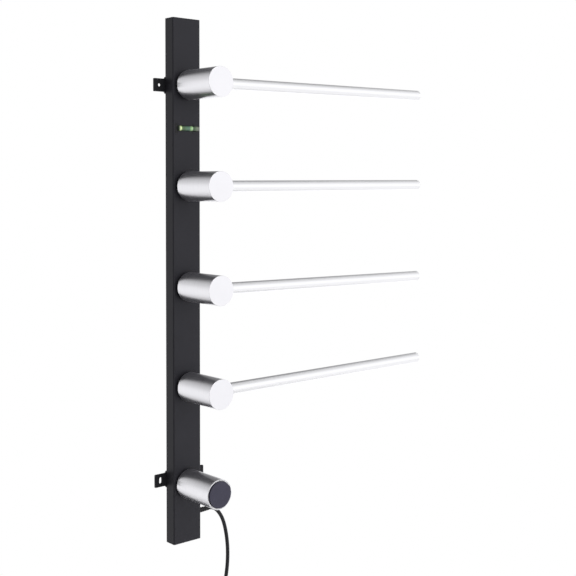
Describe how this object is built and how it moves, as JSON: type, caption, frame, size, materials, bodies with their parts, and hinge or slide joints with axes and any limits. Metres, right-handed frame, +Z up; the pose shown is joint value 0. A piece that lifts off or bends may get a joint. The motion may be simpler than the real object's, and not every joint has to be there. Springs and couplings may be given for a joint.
{
  "type": "towel warmer rack",
  "caption": "Wall-hung electric towel warmer: slim black box column with cantilever heated round bars on cylindrical hubs, push-button switch housing, built-in spirit level and mains lead.",
  "frame": {"origin": "middle of the upper wall bracket's two screw holes, on the wall plane, level with the top bar's hub", "axes": "+Z up, +X along the bars, -Y out of the wall towards the user"},
  "size_m": [0.5576, 0.121, 1.243],
  "materials": {
    "column_paint": "matt black-grey powder coat",
    "bracket_paint": "matt black",
    "neck_black": "black oxide, satin",
    "satin_aluminium": "fine satin brushed",
    "bright_rim": "bright turned",
    "button_face": "smooth satin blue-black",
    "black_plastic": "moulded",
    "steel": "zinc plated",
    "brass": "turned",
    "vial_green": "clear green acrylic",
    "bubble": "air bubble",
    "circuit_board": "green solder resist",
    "white_plastic": "moulded",
    "lead_insulation": "silicone insulation",
    "cord_black": "matt flexible sheath"
  },
  "bodies": {
    "column": {"column_channel": "column_paint", "back_plate": "column_paint", "top_cap": "column_paint", "bottom_cap": "column_paint", "upper_bracket": "bracket_paint", "lower_bracket": "bracket_paint", "back_screws": "steel", "stop_pins": "steel", "vial_clips": "black_plastic", "vial_tube": "vial_green", "vial_bubble": "bubble", "switch_neck": "neck_black", "switch_housing": "satin_aluminium", "button_bezel": "bright_rim", "switch_carrier": "black_plastic", "switch_body": "black_plastic", "button_spring": "steel", "control_board": "circuit_board", "thermal_cutout": "white_plastic", "terminal_block": "white_plastic", "earth_stud": "brass", "heater_harness": "lead_insulation", "switch_harness": "lead_insulation", "mains_harness": "lead_insulation", "strain_relief": "black_plastic", "cord": "cord_black", "cord_hank": "cord_black", "cord_tail": "cord_black", "cord_tie": "black_plastic", "plug": "black_plastic", "plug_pins": "steel", "spigot_1": "neck_black", "spigot_2": "neck_black", "spigot_3": "neck_black", "spigot_4": "neck_black"},
    "arm_1": {"hub_1": "satin_aluminium", "bar_1": "satin_aluminium", "bar_tip_1": "satin_aluminium", "heater_1": "steel", "hub_fixings_1": "brass"},
    "arm_2": {"hub_2": "satin_aluminium", "bar_2": "satin_aluminium", "bar_tip_2": "satin_aluminium", "heater_2": "steel", "hub_fixings_2": "brass"},
    "arm_3": {"hub_3": "satin_aluminium", "bar_3": "satin_aluminium", "bar_tip_3": "satin_aluminium", "heater_3": "steel", "hub_fixings_3": "brass"},
    "arm_4": {"hub_4": "satin_aluminium", "bar_4": "satin_aluminium", "bar_tip_4": "satin_aluminium", "heater_4": "steel", "hub_fixings_4": "brass"},
    "button": {"push_button": "button_face", "button_clip": "steel"},
    "plunger": {"switch_plunger": "white_plastic"}
  },
  "joints": [
    {"name": "arm_1_level", "type": "hinge", "parent": "column", "child": "arm_1", "pos_m": [0, -0.06, 0], "axis": [0, -1, 0], "range_deg": [-3.7, 2.3]},
    {"name": "arm_2_level", "type": "hinge", "parent": "column", "child": "arm_2", "pos_m": [0, -0.06, -0.17], "axis": [0, -1, 0], "range_deg": [-3.2, 2.8]},
    {"name": "arm_3_level", "type": "hinge", "parent": "column", "child": "arm_3", "pos_m": [0, -0.06, -0.34], "axis": [0, -1, 0], "range_deg": [-2.2, 3.8]},
    {"name": "arm_4_level", "type": "hinge", "parent": "column", "child": "arm_4", "pos_m": [0, -0.06, -0.51], "axis": [0, -1, 0], "range_deg": [-3.2, 2.8]},
    {"name": "button_press", "type": "slide", "parent": "column", "child": "button", "axis": [0, 1, 0], "range_m": [0, 0.002], "stiffness_N_per_m": 1500, "springref_m": -0.001, "deforming": ["button_spring"]},
    {"name": "plunger_slide", "type": "slide", "parent": "column", "child": "plunger", "axis": [0, 1, 0], "range_m": [0, 0.002]}
  ],
  "couplings": [
    {"joint": "plunger_slide", "follows": "button_press", "ratio": 1}
  ]
}
